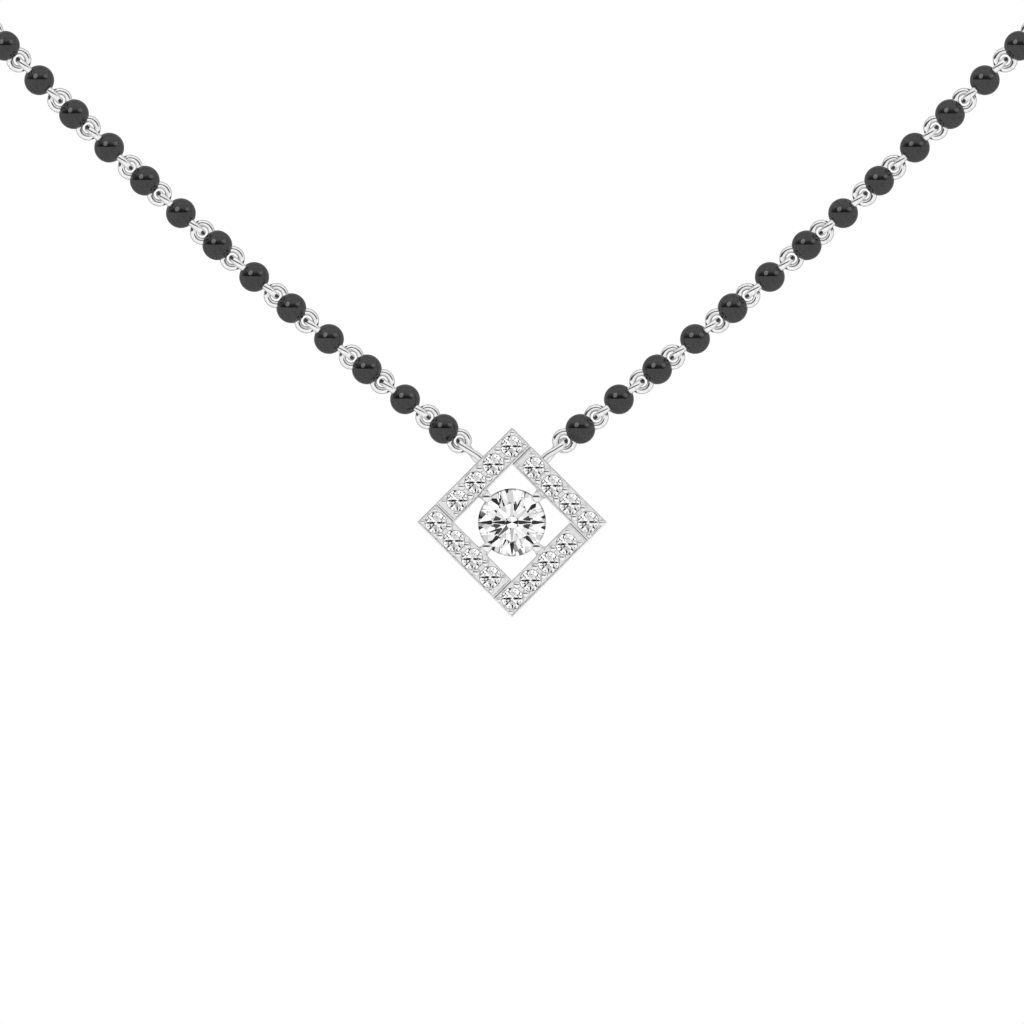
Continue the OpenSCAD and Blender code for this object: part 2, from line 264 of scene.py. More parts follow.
BEND = solve_bend()
JOINTS = strand_joints(BEND)
NAPE = JOINTS[-1] * [0, 1, 1]
RISES, TURNS = strand_headings(BEND)
BEAD_MIDDLES = (JOINTS[1:] + JOINTS[:-1]) / 2 - NAPE
BEAD_TURNS = np.stack([
    turn_matrix("z", turn) @ turn_matrix("y", -rise) @ turn_matrix("x", 90 * (k % 2))
    for k, (rise, turn) in enumerate(zip(RISES, TURNS))
])
LINK_TURN = turn_matrix("y", -LINK_RISE) @ turn_matrix("x", LINK_TWIST)
HOLE_TURN = turn_matrix("y", -LINK_RISE) @ turn_matrix("x", -LINK_TWIST)
FRAME_TURN = turn_matrix("x", 90) @ turn_matrix("z", 45)
FRAME_PLACE = np.array([0, FACE_Y, 0]) - NAPE


# Shapes as whole arrays

def place(shape, matrix=np.eye(3), offset=(0, 0, 0)):
    """The shape after a turn and then a shift. A mirroring matrix also turns its faces round."""
    points, faces = shape
    if np.linalg.det(matrix) < 0:
        faces = [face[:, ::-1] for face in faces]
    return points @ np.asarray(matrix).T + np.asarray(offset), faces


def join(shapes):
    """Several shapes as one, with the faces of each counted on from the points before it."""
    starts = np.cumsum([0] + [len(points) for points, _ in shapes])
    faces = [face + start for (_, parts), start in zip(shapes, starts) for face in parts]
    return np.vstack([points for points, _ in shapes]), faces


def quads_of_grid(rows, columns, rows_close=False):
    """Quads between neighbouring rows and columns of a grid whose columns close into a ring."""
    row = np.arange(rows if rows_close else rows - 1)[:, None]
    column = np.arange(columns)[None, :]
    next_row, next_column = (row + 1) % rows, (column + 1) % columns
    corners = [row * columns + column, row * columns + next_column,
               next_row * columns + next_column, next_row * columns + column]
    return np.stack(np.broadcast_arrays(*corners), -1).reshape(-1, 4)


def capped_rows(grid):
    """A closed shape from rings of points, grid[row, column], with its two end rings capped flat."""
    rows, columns = grid.shape[:2]
    first = np.arange(columns)[None, ::-1]
    last = (rows - 1) * columns + np.arange(columns)[None, :]
    return grid.reshape(-1, 3), [quads_of_grid(rows, columns), first, last]


def lathe(profile, around):
    """A profile of (x, radius) points turned round the X axis, from a low x to a high one.

    Point (i, j) is (x_i, r_i cos a_j, r_i sin a_j). An end of the profile on the axis is one point,
    joined to its ring by triangles, and any other end is capped flat.
    """
    profile = np.asarray(profile, float)
    angle = np.linspace(0, 2 * np.pi, around, endpoint=False)
    rings = profile[profile[:, 1] > 0]
    grid = np.stack([
        np.broadcast_to(rings[:, :1], (len(rings), around)),
        rings[:, 1:] * np.cos(angle), rings[:, 1:] * np.sin(angle)
    ], -1)
    points, (sides, first, last) = capped_rows(grid)
    faces = [sides]
    for pole, ring, rim in ((profile[0], first[0], first), (profile[-1], last[0], last)):
        if pole[1] > 0:
            faces.append(rim)
        else:
            faces.append(np.stack([ring, np.roll(ring, -1), np.full(around, len(points))], -1))
            points = np.vstack([points, [pole[0], 0, 0]])
    return points, faces


def arc(middle, radius, start, end, steps):
    """Points (x, y) of an arc round a middle, from one angle to the other in degrees."""
    angle = np.radians(np.linspace(start, end, steps + 1))
    return np.asarray(middle) + radius * np.stack([np.cos(angle), np.sin(angle)], -1)


def ball(diameter, around, rows):
    """A sphere as the lathe of half a circle, its poles on the X axis."""
    profile = arc((0, 0), diameter / 2, 180, 0, rows)
    profile[[0, -1], 1] = 0
    return lathe(profile, around)


def wire_along(path, tangent, wire_d, around):
    """A round wire carried along a closed path that lies in the plane X-Y.

    Point (i, j) is path_i + r (cos a_j n_i + sin a_j z), where n_i is the path's outward normal.
    """
    normal = np.stack([tangent[:, 1], -tangent[:, 0]], -1)[:, None, :]
    angle = np.linspace(0, 2 * np.pi, around, endpoint=False)[None, :, None]
    flat = path[:, None, :] + wire_d / 2 * np.cos(angle) * normal
    height = np.broadcast_to(wire_d / 2 * np.sin(angle), flat.shape[:2] + (1,))
    points = np.concatenate([flat, height], -1)
    return points.reshape(-1, 3), [quads_of_grid(len(path), around, rows_close=True)[:, ::-1]]


def oval_wire(half_width, length, wire_d, bend_steps, around, leg_steps=1):
    """A long oval of wire from its tip at the origin back along -X; both ends are half circles."""
    near, far = -half_width, half_width - length
    leg = np.linspace(near, far, leg_steps + 1)[1:-1]
    turns = np.radians(np.concatenate([
        np.linspace(-90, 90, bend_steps + 1), np.full(len(leg), 90),
        np.linspace(90, 270, bend_steps + 1), np.full(len(leg), 270)
    ]))
    middles = np.concatenate([np.full(bend_steps + 1, near), leg, np.full(bend_steps + 1, far), leg[::-1]])
    path = np.stack([middles + half_width * np.cos(turns), half_width * np.sin(turns)], -1)
    if np.isclose(length, 2 * half_width):
        path, turns = np.delete(path, [bend_steps, -1], 0), np.delete(turns, [bend_steps, -1])
    tangent = np.stack([-np.sin(turns), np.cos(turns)], -1)
    return wire_along(path, tangent, wire_d, around)


def twisted(shape, start, end, degrees):
    """The shape wrung about the X axis: point (x, y, z) turns by the whole angle times s(x).

    The share s is a smooth step that is 0 at the start and 1 at the end.
    """
    points, faces = shape
    share = np.clip((points[:, 0] - start) / (end - start), 0, 1)
    angle = np.radians(degrees) * share ** 2 * (3 - 2 * share)
    x, y, z = points.T
    turned = [x, y * np.cos(angle) - z * np.sin(angle), y * np.sin(angle) + z * np.cos(angle)]
    return np.stack(turned, -1), faces


def eye_ring(wire_d, bend_steps, around):
    """An eye: a wire ring about the Y axis, round the origin."""
    ring = oval_wire(EYE_R, 2 * EYE_R, wire_d, bend_steps, around)
    return place(place(ring, offset=(EYE_R, 0, 0)), turn_matrix("x", 90))


# From shapes to meshes and back

def mesh_of(name, shape):
    """An object in metres from a shape in millimetres."""
    points, faces = shape
    loops = np.concatenate([face.reshape(-1) for face in faces])
    sizes = np.concatenate([np.full(len(face), face.shape[1]) for face in faces])
    mesh = bpy.data.meshes.new(name)
    mesh.vertices.add(len(points))
    mesh.vertices.foreach_set("co", (points * MM).astype(np.float32).reshape(-1))
    mesh.loops.add(len(loops))
    mesh.loops.foreach_set("vertex_index", loops.astype(np.int32))
    mesh.polygons.add(len(sizes))
    mesh.polygons.foreach_set("loop_start", (np.cumsum(sizes) - sizes).astype(np.int32))
    mesh.update(calc_edges=True)
    piece = bpy.data.objects.new(name, mesh)
    bpy.context.scene.collection.objects.link(piece)
    return piece


def cut_and_fuse(shape, *steps):
    """The shape after a row of solid steps, each ("UNION" or "DIFFERENCE", shape), as triangles.

    The work is done a thousand times larger, because the real one is close to the smallest length
    that the solid steps tell apart.
    """
    scaled = 1 / MM
    body = mesh_of("body", (shape[0] * scaled, shape[1]))
    tools = []
    for operation, (points, faces) in steps:
        tool = mesh_of("tool", (points * scaled, faces))
        step = body.modifiers.new(operation, "BOOLEAN")
        step.operation = operation
        step.solver = "MANIFOLD"
        step.object = tool
        tools.append(tool)
    made = body.evaluated_get(bpy.context.evaluated_depsgraph_get()).to_mesh()
    made.calc_loop_triangles()
    points = np.empty(len(made.vertices) * 3, np.float32)
    made.vertices.foreach_get("co", points)
    triangles = np.empty(len(made.loop_triangles) * 3, np.int32)
    made.loop_triangles.foreach_get("vertices", triangles)
    for used in [body] + tools:
        bpy.data.objects.remove(used)
    return points.reshape(-1, 3).astype(float), [triangles.reshape(-1, 3)]


def piece_of(name, shape, material, nodes, crease=35.0):
    """A finished piece: smooth up to a crease angle, with its material and its nodes."""
    piece = mesh_of(name, shape)
    piece.data.polygons.foreach_set("use_smooth", np.ones(len(piece.data.polygons), bool))
    piece.data.set_sharp_from_angle(angle=np.radians(crease))
    piece.data.materials.append(material)
    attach(piece, "root")
    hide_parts(*nodes)
    return piece


def along_strand(unit, side):
    """Copies of one unit at every bead of a side. The left side is the right one in a mirror."""
    mirror = np.diag([SIDES[side], 1, 1])
    copies = [place(unit, matrix, middle) for matrix, middle in zip(BEAD_TURNS, BEAD_MIDDLES)]
    return place(join(copies), mirror)


# Materials

class Shade:
    """One socket of a node tree. Sums and products of it add Math nodes to the same tree."""

    def __init__(self, tree, socket=None):
        self.tree = tree
        self.socket = socket

    def add(self, kind, settings=None, inputs=None, output=0):
        """Any node: its settings are set first, then the values or the links of its sockets."""
        node = self.tree.nodes.new(kind)
        for name, value in (settings or {}).items():
            setattr(node, name, value)
        for name, value in (inputs or {}).items():
            if isinstance(value, Shade):
                self.tree.links.new(value.socket, node.inputs[name])
            else:
                node.inputs[name].default_value = value
        return Shade(self.tree, node.outputs[output] if len(node.outputs) else None)

    def math(self, operation, *values):
        return self.add("ShaderNodeMath", {"operation": operation}, dict(enumerate(values)))

    def __add__(self, other):
        return self.math("ADD", self, other)

    def __sub__(self, other):
        return self.math("SUBTRACT", self, other)

    def __rsub__(self, other):
        return self.math("SUBTRACT", other, self)

    def __mul__(self, other):
        return self.math("MULTIPLY", self, other)

    def __abs__(self):
        return self.math("ABSOLUTE", self)

    __radd__ = __add__
    __rmul__ = __mul__

    def ramp(self, low, high, start=0.0, end=1.0):
        """A smooth step of this value: start at low and below, end at high and above."""
        return self.add("ShaderNodeMapRange", {"interpolation_type": "SMOOTHSTEP"}, {
            "Value": self, "From Min": low, "From Max": high, "To Min": start, "To Max": end})


def tinted(tree, mask, dark, light):
    """A colour between two others, by a mask from 0 to 1."""
    return tree.add("ShaderNodeMix", {"data_type": "RGBA"}, {
        "Factor": mask, 6: (*dark, 1), 7: (*light, 1)}, output=2)


def new_material(name):
    """An empty material: its tree as a Shade, and its Object coordinates."""
    material = bpy.data.materials.new(name)
    material.use_nodes = True
    material.node_tree.nodes.clear()
    tree = Shade(material.node_tree)
    return material, tree, tree.add("ShaderNodeTexCoord", output="Object")


def close_material(tree, inputs):
    """Ends a material with one surface shader."""
    surface = tree.add("ShaderNodeBsdfPrincipled", inputs=inputs)
    tree.add("ShaderNodeOutputMaterial", inputs={"Surface": surface})


def split_of(tree, vector):
    """The three numbers of a vector."""
    return [tree.add("ShaderNodeSeparateXYZ", inputs={0: vector}, output=i) for i in range(3)]


def noise(tree, place_in, scale, detail=2.0):
    return tree.add("ShaderNodeTexNoise", inputs={"Vector": place_in, "Scale": scale, "Detail": detail})


def white_gold(name, recess_shade_and_dullness=None):
    """Rhodium-bright white gold: near-white, mirror polished, with the faint haze of wear.

    The function for the sunk places gives their mask. There the colour is darkened as painted shade, and the
    metal is rougher, where no buff reaches.
    """
    material, tree, here = new_material(name)
    haze = noise(tree, here, HAZE_SCALE).ramp(*HAZE_SPAN)
    ripple = noise(tree, here, RIPPLE_SCALE, detail=1.0)
    colour = tinted(tree, haze, WORN_GOLD, BRIGHT_GOLD)
    roughness = GOLD_ROUGHNESS + HAZE_ROUGHNESS * haze
    if recess_shade_and_dullness:
        mask = recess_shade_and_dullness(tree, here)
        # The dark colour in the sunk places is painted shade; the added roughness is the unbuffed metal
        colour = tree.add("ShaderNodeMix", {"data_type": "RGBA"}, {
            "Factor": mask, 6: colour, 7: (*RECESS_SHADE_GOLD, 1)}, output=2)
        roughness = roughness + DULL_ROUGHNESS * mask
    close_material(tree, {
        "Base Color": colour,
        "Metallic": 1.0,
        "Roughness": roughness,
        "Normal": tree.add("ShaderNodeBump", inputs={
            "Height": ripple, "Strength": RIPPLE_STRENGTH, "Distance": RIPPLE_HEIGHT}),
    })
    return material


def frame_recess_shade_and_dullness(tree, here):
    """The mask of the frame's seats, windows and seams: in the plate below its field, inside its edges. It
    marks where the colour is darkened as painted shade and the metal is rougher.
    """
    x, y, z = split_of(tree, here)
    across = abs(x * (1 / MM))
    up = abs(z * (1 / MM) - FRAME_PLACE[2])
    along = (across + up) * np.sqrt(0.5)
    ring = tree.math("MAXIMUM", along, abs(across - up) * np.sqrt(0.5))
    depth = y * (1 / MM) - FRAME_PLACE[1]
    from_middle = abs(ring - (HALF_INNER + RAIL_W / 2))
    inside = from_middle.ramp(RAIL_W / 2 - BORDER_W, RAIL_W / 2 - BORDER_W / 2, 1.0, 0.0)
    below = depth.ramp(FIELD_DEPTH + RECESS_LOW, FIELD_DEPTH + RECESS_HIGH)
    return inside * below * depth.ramp(PLATE_T - RECESS_HIGH, PLATE_T - RECESS_LOW, 1.0, 0.0)


def black_onyx():
    """Polished black stone: almost no colour of its own under a glossy skin, with faint clouds."""
    material, tree, here = new_material("black_onyx_polish")
    clouds = noise(tree, here, CLOUD_SCALE, detail=4.0).ramp(*CLOUD_SPAN)
    close_material(tree, {
        "Base Color": tinted(tree, clouds, DEEP_BLACK, CLOUDED_BLACK),
        "Roughness": ONYX_ROUGHNESS + CLOUD_ROUGHNESS * clouds,
        "IOR": ONYX_IOR,
    })
    return material


def cut_diamond(name, rim=None):
    """Clear stone: light goes through and turns back inside, with the least trace of a tint.

    A rim is a function that gives the colour of the stone's edge: the grey of its bruted girdle, darkened
    towards the top with painted shade.
    """
    material, tree, here = new_material(name)
    trace = noise(tree, here, TINT_SCALE).ramp(*TINT_SPAN)
    colour = tinted(tree, trace, FAINT_TINT, CLEAR)
    close_material(tree, {
        "Base Color": rim(tree, here, colour) if rim else colour,
        "Roughness": 0.0,
        "IOR": DIAMOND_IOR,
        "Specular Tint": DIAMOND_SPECULAR,
        "Transmission Weight": 1.0,
    })
    return material


def centre_rim(tree, here, colour):
    """The centre stone's colour: clear up to its girdle, which is grey as a frosted girdle is, and painted
    darker towards the top as shade.
    """
    x, _, z = split_of(tree, here)
    up = z * (1 / (MM * CENTRE_R)) - FRAME_PLACE[2] / CENTRE_R
    out = tree.math("SQRT", x * x * (1 / (MM * CENTRE_R)) ** 2 + up * up)
    # Painted shade: the girdle's grey darkens towards the top of the stone
    shade = up.ramp(RIM_PALE_UP, RIM_DARK_UP, RIM_PALE, RIM_DARK)
    edge = tree.add("ShaderNodeCombineColor", inputs={0: shade, 1: shade, 2: shade})
    return tree.add("ShaderNodeMix", {"data_type": "RGBA"}, {
        "Factor": out.ramp(RIM_START, RIM_FULL), 6: colour, 7: edge}, output=2)


# Beads, eye pins, links and clasp

def bead_unit():
    """A round bead with its bore, sawn at both ends just wide enough for its neighbours' eyes."""
    bore = lathe([(-BEAD_D, SHANK_D / 2 + SNUG), (BEAD_D, SHANK_D / 2 + SNUG)], around=16)
    ring = eye_ring(WIRE_D + 2 * SNUG, bend_steps=18, around=16)
    rings = [place(ring, offset=(end * EYE_OUT, 0, 0)) for end in (-1, 1)]
    bead_ball = ball(BEAD_D, around=44, rows=26)
    return cut_and_fuse(bead_ball, ("DIFFERENCE", join(rings)), ("DIFFERENCE", bore))


def pin_unit():
    """An eye pin along X: an eye at each end of its shank."""
    shank = lathe([(-EYE_OUT + EYE_R, SHANK_D / 2), (EYE_OUT - EYE_R, SHANK_D / 2)], around=16)
    ring = eye_ring(WIRE_D, bend_steps=20, around=16)
    rings = [place(ring, offset=(end * EYE_OUT, 0, 0)) for end in (-1, 1)]
    return cut_and_fuse(join(rings), ("UNION", shank))


def clasp_shape():
    """A plain barrel with softened ends and an eye at each end."""
    eye_x = (CLASP_LENGTH - EYE_R) / 2
    end_x = eye_x - 2 * EYE_R - WIRE_D
    radius, bevel = CLASP_D / 2, CLASP_BEVEL
    end = arc((-end_x + bevel, radius - bevel), bevel, 180, 90, steps=6)
    profile = np.vstack([end, end[::-1] * [-1, 1]])
    necks = lathe([(-eye_x + EYE_R, WIRE_D / 2), (eye_x - EYE_R, WIRE_D / 2)], around=24)
    ring = eye_ring(WIRE_D, bend_steps=24, around=20)
    rings = [place(ring, offset=(side * eye_x, 0, 0)) for side in (-1, 1)]
    shape = cut_and_fuse(lathe(profile, around=64), ("UNION", necks), ("UNION", join(rings)))
    return place(shape, turn_matrix("x", 90 * (BEAD_COUNT % 2)))


# Pendant frame

def rounded_rectangle(half_x, half_y, round_r, inset, height):
    """A ring of points round a rectangle that is drawn in by an inset, with rounded corners.

    Corner point (i, j) is c_i + r (cos a_j, sin a_j). The corners keep a least radius, so that no
    two points fall together.
    """
    corner = np.maximum(round_r - inset, LEAST_RADIUS)
    angle = np.radians(np.linspace(0, 90, 4)[None, :] + np.array([0, 90, 180, 270])[:, None])
    signs = np.array([(1, 1), (-1, 1), (-1, -1), (1, -1)])[:, None, :]
    middles = signs * (np.array([half_x, half_y]) - inset - corner)
    ring = (middles + corner * np.stack([np.cos(angle), np.sin(angle)], -1)).reshape(-1, 2)
    return np.column_stack([ring, np.full(len(ring), height)])


def bar_shape():
    """One bar: a block with softened edges, a raised border and a sunk field inside it.

    It is a profile of (inset, height) carried round the bar's rectangle.
    """
    low_x, high_x = SEAM_W / 2 - HALF_INNER, HALF_SIDE
    low_y, high_y = HALF_INNER, HALF_SIDE
    profile = np.vstack([
        [(0, -FRAME_DEPTH)],
        arc((EDGE_ROUND, -EDGE_ROUND), EDGE_ROUND, 180, 90, steps=4),
        arc((BORDER_W - BORDER_ROUND, -BORDER_ROUND), BORDER_ROUND, 90, 30, steps=3),
        [(BORDER_W + BORDER_SLOPE, -FIELD_DEPTH)],
    ])
    rings = [rounded_rectangle((high_x - low_x) / 2, (high_y - low_y) / 2, CORNER_ROUND, *row)
             for row in profile]
    return place(capped_rows(np.stack(rings)), offset=((low_x + high_x) / 2, (low_y + high_y) / 2, 0))


def block(low, high):
    """A plain block between two corners."""
    (x0, y0, z0), (x1, y1, z1) = low, high
    ring = np.array([(x0, y0), (x1, y0), (x1, y1), (x0, y1)])
    return capped_rows(np.stack([np.column_stack([ring, np.full(4, z)]) for z in (z0, z1)]))


def square_channel(half_out, half_in, low, high):
    """A square ring with a rectangular section, round the Z axis."""
    corners = np.array([(1, 1), (-1, 1), (-1, -1), (1, -1)])
    section = [(half_out, low), (half_out, high), (half_in, high), (half_in, low)]
    grid = np.stack([np.column_stack([corners * half, np.full(4, z)]) for half, z in section])
    return grid.reshape(-1, 3), [quads_of_grid(4, 4, rows_close=True)]


def melee_x(k):
    """Where small stone k of a bar sits: 0 is the corner stone."""
    return CORNER_X - k * MELEE_PITCH


def seat_cutter():
    """The cut for one small stone: its seat, the cone below it and the window behind."""
    bottom = MELEE_Z - MELEE_GIRDLE / 2
    seat_r = MELEE_D / 2 + SEAT_GAP
    drop = (seat_r - WINDOW_D / 2) * 2 * PAVILION_SHARE
    profile = [(-PLATE_T - OVER, WINDOW_D / 2), (bottom - drop, WINDOW_D / 2),
               (bottom, seat_r), (OVER, seat_r)]
    return place(lathe(profile, around=40), turn_matrix("y", -90))


def crown_cutter():
    """The cut that lets the grains lap over one small stone: a little larger than its girdle and crown."""
    radius, top = MELEE_D / 2, MELEE_Z + MELEE_GIRDLE / 2
    table, rise = radius * TABLE_SHARE, MELEE_D * CROWN_SHARE
    profile = [(MELEE_Z - MELEE_GIRDLE, radius), (top, radius),
               (top + rise / 2, (radius + table) / 2 * CROWN_FULLNESS), (top + rise, table), (OVER, table)]
    return place(lathe(np.add(profile, (0, SNUG)), around=40), turn_matrix("y", -90))


def round_the_square(shapes):
    """The shapes of one bar, repeated clockwise for the four bars."""
    return join([place(join(shapes), turn_matrix("z", -90 * i)) for i in range(BARS)])


def grain_shapes():
    """The grains of one bar: a pair between each two stones and a pair at each end."""
    pressed = np.diag([1, 1, GRAIN_FLATNESS]) @ turn_matrix("y", -90)
    big, small = (place(ball(d, around=24, rows=16), pressed) for d in (GRAIN_D, END_GRAIN_D))
    spots = [(big, melee_x(k + 0.5), GRAIN_ACROSS) for k in range(PER_BAR - 1)]
    spots += [(small, melee_x(0) + END_GRAIN_ALONG, END_GRAIN_ACROSS),
              (small, melee_x(PER_BAR - 1) - END_GRAIN_ALONG, END_GRAIN_ACROSS)]
    return [place(grain, offset=(x, ROW_Y + side * across, GRAIN_Z))
            for side in (-1, 1) for grain, x, across in spots]


def claw_parts():
    """The parts of one claw at +X: its post, its arm and its tip, which is a ball pressed flatter.

    Section i of the arm is an ellipse (w_i cos a_j, h_i sin a_j). From the tip to the rail its middle
    falls and its half width grows by a square law, and its half height changes evenly.
    """
    foot_x = HALF_INNER + BORDER_W
    share = np.linspace(0, 1, 9)[:, None]
    angle = np.linspace(0, 2 * np.pi, 32, endpoint=False)[None, :]
    half_width = (CLAW_BALL_D + (CLAW_FOOT_D - CLAW_BALL_D) * share ** 2) / 2
    half_height = (CLAW_TIP_T + (CLAW_FOOT_T - CLAW_TIP_T) * share) / 2
    middle = TIP_Z * (1 - share ** 2) - CLAW_FOOT_T / 2 * share ** 2
    arm = capped_rows(np.stack(np.broadcast_arrays(
        TIP_X + (foot_x - TIP_X) * share,
        half_width * np.cos(angle),
        middle + half_height * np.sin(angle),
    ), -1))
    post = lathe([(-CLAW_DEPTH, CLAW_D / 2), (TIP_Z - POST_DROP, CLAW_D / 2)], around=28)
    post = place(post, turn_matrix("y", -90), (POST_R, 0, 0))
    tip = ball(CLAW_BALL_D, around=36, rows=24)
    tip = place(tip, np.diag([1, 1, CLAW_FLATNESS]), (TIP_X, 0, TIP_Z))
    return post, arm, tip


def frame_shape():
    """The square frame hung on point: four bars, their joints, grains and claws as one casting."""
    joiner = block((-HALF_INNER - JOINER_REACH, HALF_INNER + SKIN, SKIN - FRAME_DEPTH),
                   (-HALF_INNER + JOINER_REACH, HALF_SIDE - SKIN, -SEAM_DEPTH))
    hollow = square_channel(HALF_SIDE - WALL_T, HALF_INNER + WALL_T, -FRAME_DEPTH - OVER, -PLATE_T)
    seats, crowns = ([place(cutter, offset=(melee_x(k), ROW_Y, 0)) for k in range(PER_BAR)]
                     for cutter in (seat_cutter(), crown_cutter()))
    post, arm, tip = claw_parts()
    flat = cut_and_fuse(
        round_the_square([bar_shape()]),
        ("UNION", round_the_square([joiner])),
        ("DIFFERENCE", hollow),
        ("DIFFERENCE", round_the_square(seats)),
        ("UNION", round_the_square(grain_shapes())),
        ("DIFFERENCE", round_the_square(crowns)),
        ("UNION", round_the_square([post])),
        ("UNION", round_the_square([arm])),
        ("UNION", round_the_square([tip])),
    )
    hung = place(flat, FRAME_TURN, FRAME_PLACE)
    hole = lathe([(-LINK_LENGTH + WIRE_D / 2, HOLE_D / 2),
                  (-LINK_OUT + WALL_T + WIRE_D / 2, HOLE_D / 2)], around=28)
    hole = place(place(hole, offset=(0, -LINK_HALF, 0)), HOLE_TURN, FIRST_EYE - NAPE)
    holes = [place(hole, np.diag([side, 1, 1])) for side in SIDES.values()]
    return cut_and_fuse(hung, ("DIFFERENCE", join(holes)))


# The pieces

METAL = white_gold("white_gold_polish")
# The frame's material has painted shade in its sunk places
FRAME_METAL = white_gold("white_gold_with_painted_recess_shade", frame_recess_shade_and_dullness)
ONYX = black_onyx()
DIAMOND = cut_diamond("small_diamond")
CENTRE_DIAMOND = cut_diamond("centre_diamond", centre_rim)

bead, pin = bead_unit(), pin_unit()
link = oval_wire(LINK_HALF, LINK_LENGTH, WIRE_D, bend_steps=18, around=24, leg_steps=24)
link = twisted(link, CROSSING_START, CROSSING_END, -2 * LINK_TWIST)
link = place(link, LINK_TURN, FIRST_EYE - NAPE)
for side_name, sign in SIDES.items():
    piece_of(f"string_of_beads_{side_name}", along_strand(bead, side_name), ONYX,
             [f"beads_{side_name}"])
    piece_of(f"string_of_pins_{side_name}", along_strand(pin, side_name), METAL,
             [f"eye_pins_{side_name}"])
    piece_of(f"oval_link_{side_name}", place(link, np.diag([sign, 1, 1])), METAL,
             [f"pendant_link_{side_name}"])
piece_of("barrel_clasp", clasp_shape(), METAL, ["clasp"])
piece_of("square_frame", frame_shape(), FRAME_METAL, ["pendant_frame"])

STONES = {f"stone_{n:02d}": DIAMOND for n in range(1, BARS * PER_BAR + 1)}
STONES["centre_stone"] = CENTRE_DIAMOND
for node, material in STONES.items():
    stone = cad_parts[node]
    stone.data.materials.clear()
    stone.data.materials.append(material)


# Light: a white room with cards in it, placed by their bearing from the pendant in degrees

class Card(NamedTuple):
    """A card: the bearing of its middle, half its width and height, and how bright it is."""
    azimuth: float
    elevation: float
    half_width: float
    half_height: float
    light: float


# How bright the room is. The light fades towards the back, and is a little less round the camera
FRONT_LIGHT = 0.98
BACK_LIGHT = 0.4
FADE_START = 0.3
FADE_END = -0.95
CAMERA_LIGHT = 0.86
CAMERA_REACH = 5.0
ROOM_PATCHES = 6.0
ROOM_SPAN = (0.35, 0.65)
ROOM_DIM = 0.82
ROOM_BRIGHT = 1.24

# How bright it is to the light that comes through a stone
FACET_LIGHT = 1.03
FACET_PATCHES = 9.0
FACET_SPAN = (0.33, 0.67)
FACET_DIM = 0.62
FACET_BRIGHT = 1.25
CARD_SOFTNESS = 0.6

# The unlit gap over the front, which every bead shows as a dark lens: it rises from its own elevation,
# and darkens from its rim to its core. The beads also meet lamps in it
GAP = Card(-22.0, 4.5, 96.0, 47.0, 0.05)
GAP_FOOT = 1.5
GAP_CORE = 0.08
LAMPS = {
    "soft_box": Card(-33.0, 31.0, 16.0, 18.0, 1.9),
    "wide_box": Card(57.0, 29.0, 18.0, 12.0, 0.75),
}
LAMP_DISTANCE = 1.5

# Small cards that only the light through the stones meets, each the dark of a few facets. Most of their
# bearings came from a ray trace that followed dark spots in the photo through a model of the stone.
# Their sizes and light were set one by one
FACET_CARDS = {
    "right_arrow": Card(13.5, 0.0, 6.0, 2.6, 0.0),
    "left_arrow": Card(-13.5, 0.0, 6.0, 2.6, 0.0),
    "right_core": Card(45.8, 0.0, 2.5, 2.6, 0.0),
    "left_core": Card(-45.8, 0.0, 2.5, 2.6, 0.0),
    "right_corner": Card(33.0, 6.0, 3.0, 2.0, 0.0),
    "left_corner": Card(-33.0, -6.0, 3.0, 2.0, 0.0),
    "right_waist": Card(31.0, -6.0, 2.0, 2.0, 0.0),
    "left_waist": Card(-31.0, 6.0, 2.0, 2.0, 0.0),
    "upper_right_waist": Card(20.0, 20.0, 2.0, 2.0, 0.1),
    "upper_left_waist": Card(-20.0, 20.0, 2.0, 2.0, 0.0),
    "lower_right_waist": Card(20.0, -20.0, 2.0, 2.0, 0.0),
    "lower_left_waist": Card(-20.0, -20.0, 2.0, 2.0, 0.1),
    "upper_right_root": Card(13.0, 12.0, 2.0, 2.0, 0.1),
    "upper_left_root": Card(-13.0, 12.0, 2.0, 2.0, 0.5),
    "lower_right_root": Card(13.0, -12.0, 2.0, 2.0, 0.5),
    "lower_left_root": Card(-13.0, -12.0, 2.0, 2.0, 0.1),
    "diagonal_right": Card(6.9, -6.9, 1.5, 1.5, 0.0),
    "diagonal_left": Card(-6.9, -6.9, 1.5, 1.5, 0.0),
    "diagonal_left_root": Card(-8.8, -8.8, 1.2, 1.2, 0.1),
    "low_arrow": Card(0.0, -9.7, 1.3, 1.3, 0.0),
    "low_root": Card(0.0, -12.4, 1.0, 1.0, 0.5),
    "right_shelf": Card(30.5, 28.6, 3.0, 1.4, 0.0),
    "right_step": Card(22.0, 28.0, 2.0, 2.0, 0.5),
    "left_shelf": Card(-31.0, -28.0, 3.0, 2.5, 0.15),
    "left_spot": Card(30.0, -20.0, 2.0, 2.0, 0.0),
    "left_notch": Card(-20.5, -26.5, 4.5, 2.5, 0.0),
    "chunk": Card(-29.0, -3.5, 3.0, 2.2, 0.0),
    "chunk_tip": Card(-22.5, -2.2, 2.0, 1.8, 0.0),
    "chunk_rim": Card(-59.0, -32.0, 4.0, 4.0, 0.0),
    "chunk_side": Card(-43.0, 7.0, 2.0, 3.0, 0.0),
    "crown_spot": Card(-21.0, 33.0, 2.5, 2.5, 0.0),
    "right_spot": Card(-1.0, 23.0, 2.5, 2.5, 0.0),
    "table_spot": Card(-7.0, 31.0, 2.5, 2.5, 0.0),
    "foot_left": Card(21.0, -31.0, 2.5, 2.5, 0.2),
    "foot_right": Card(-17.0, -14.0, 2.0, 2.0, 0.3),
}


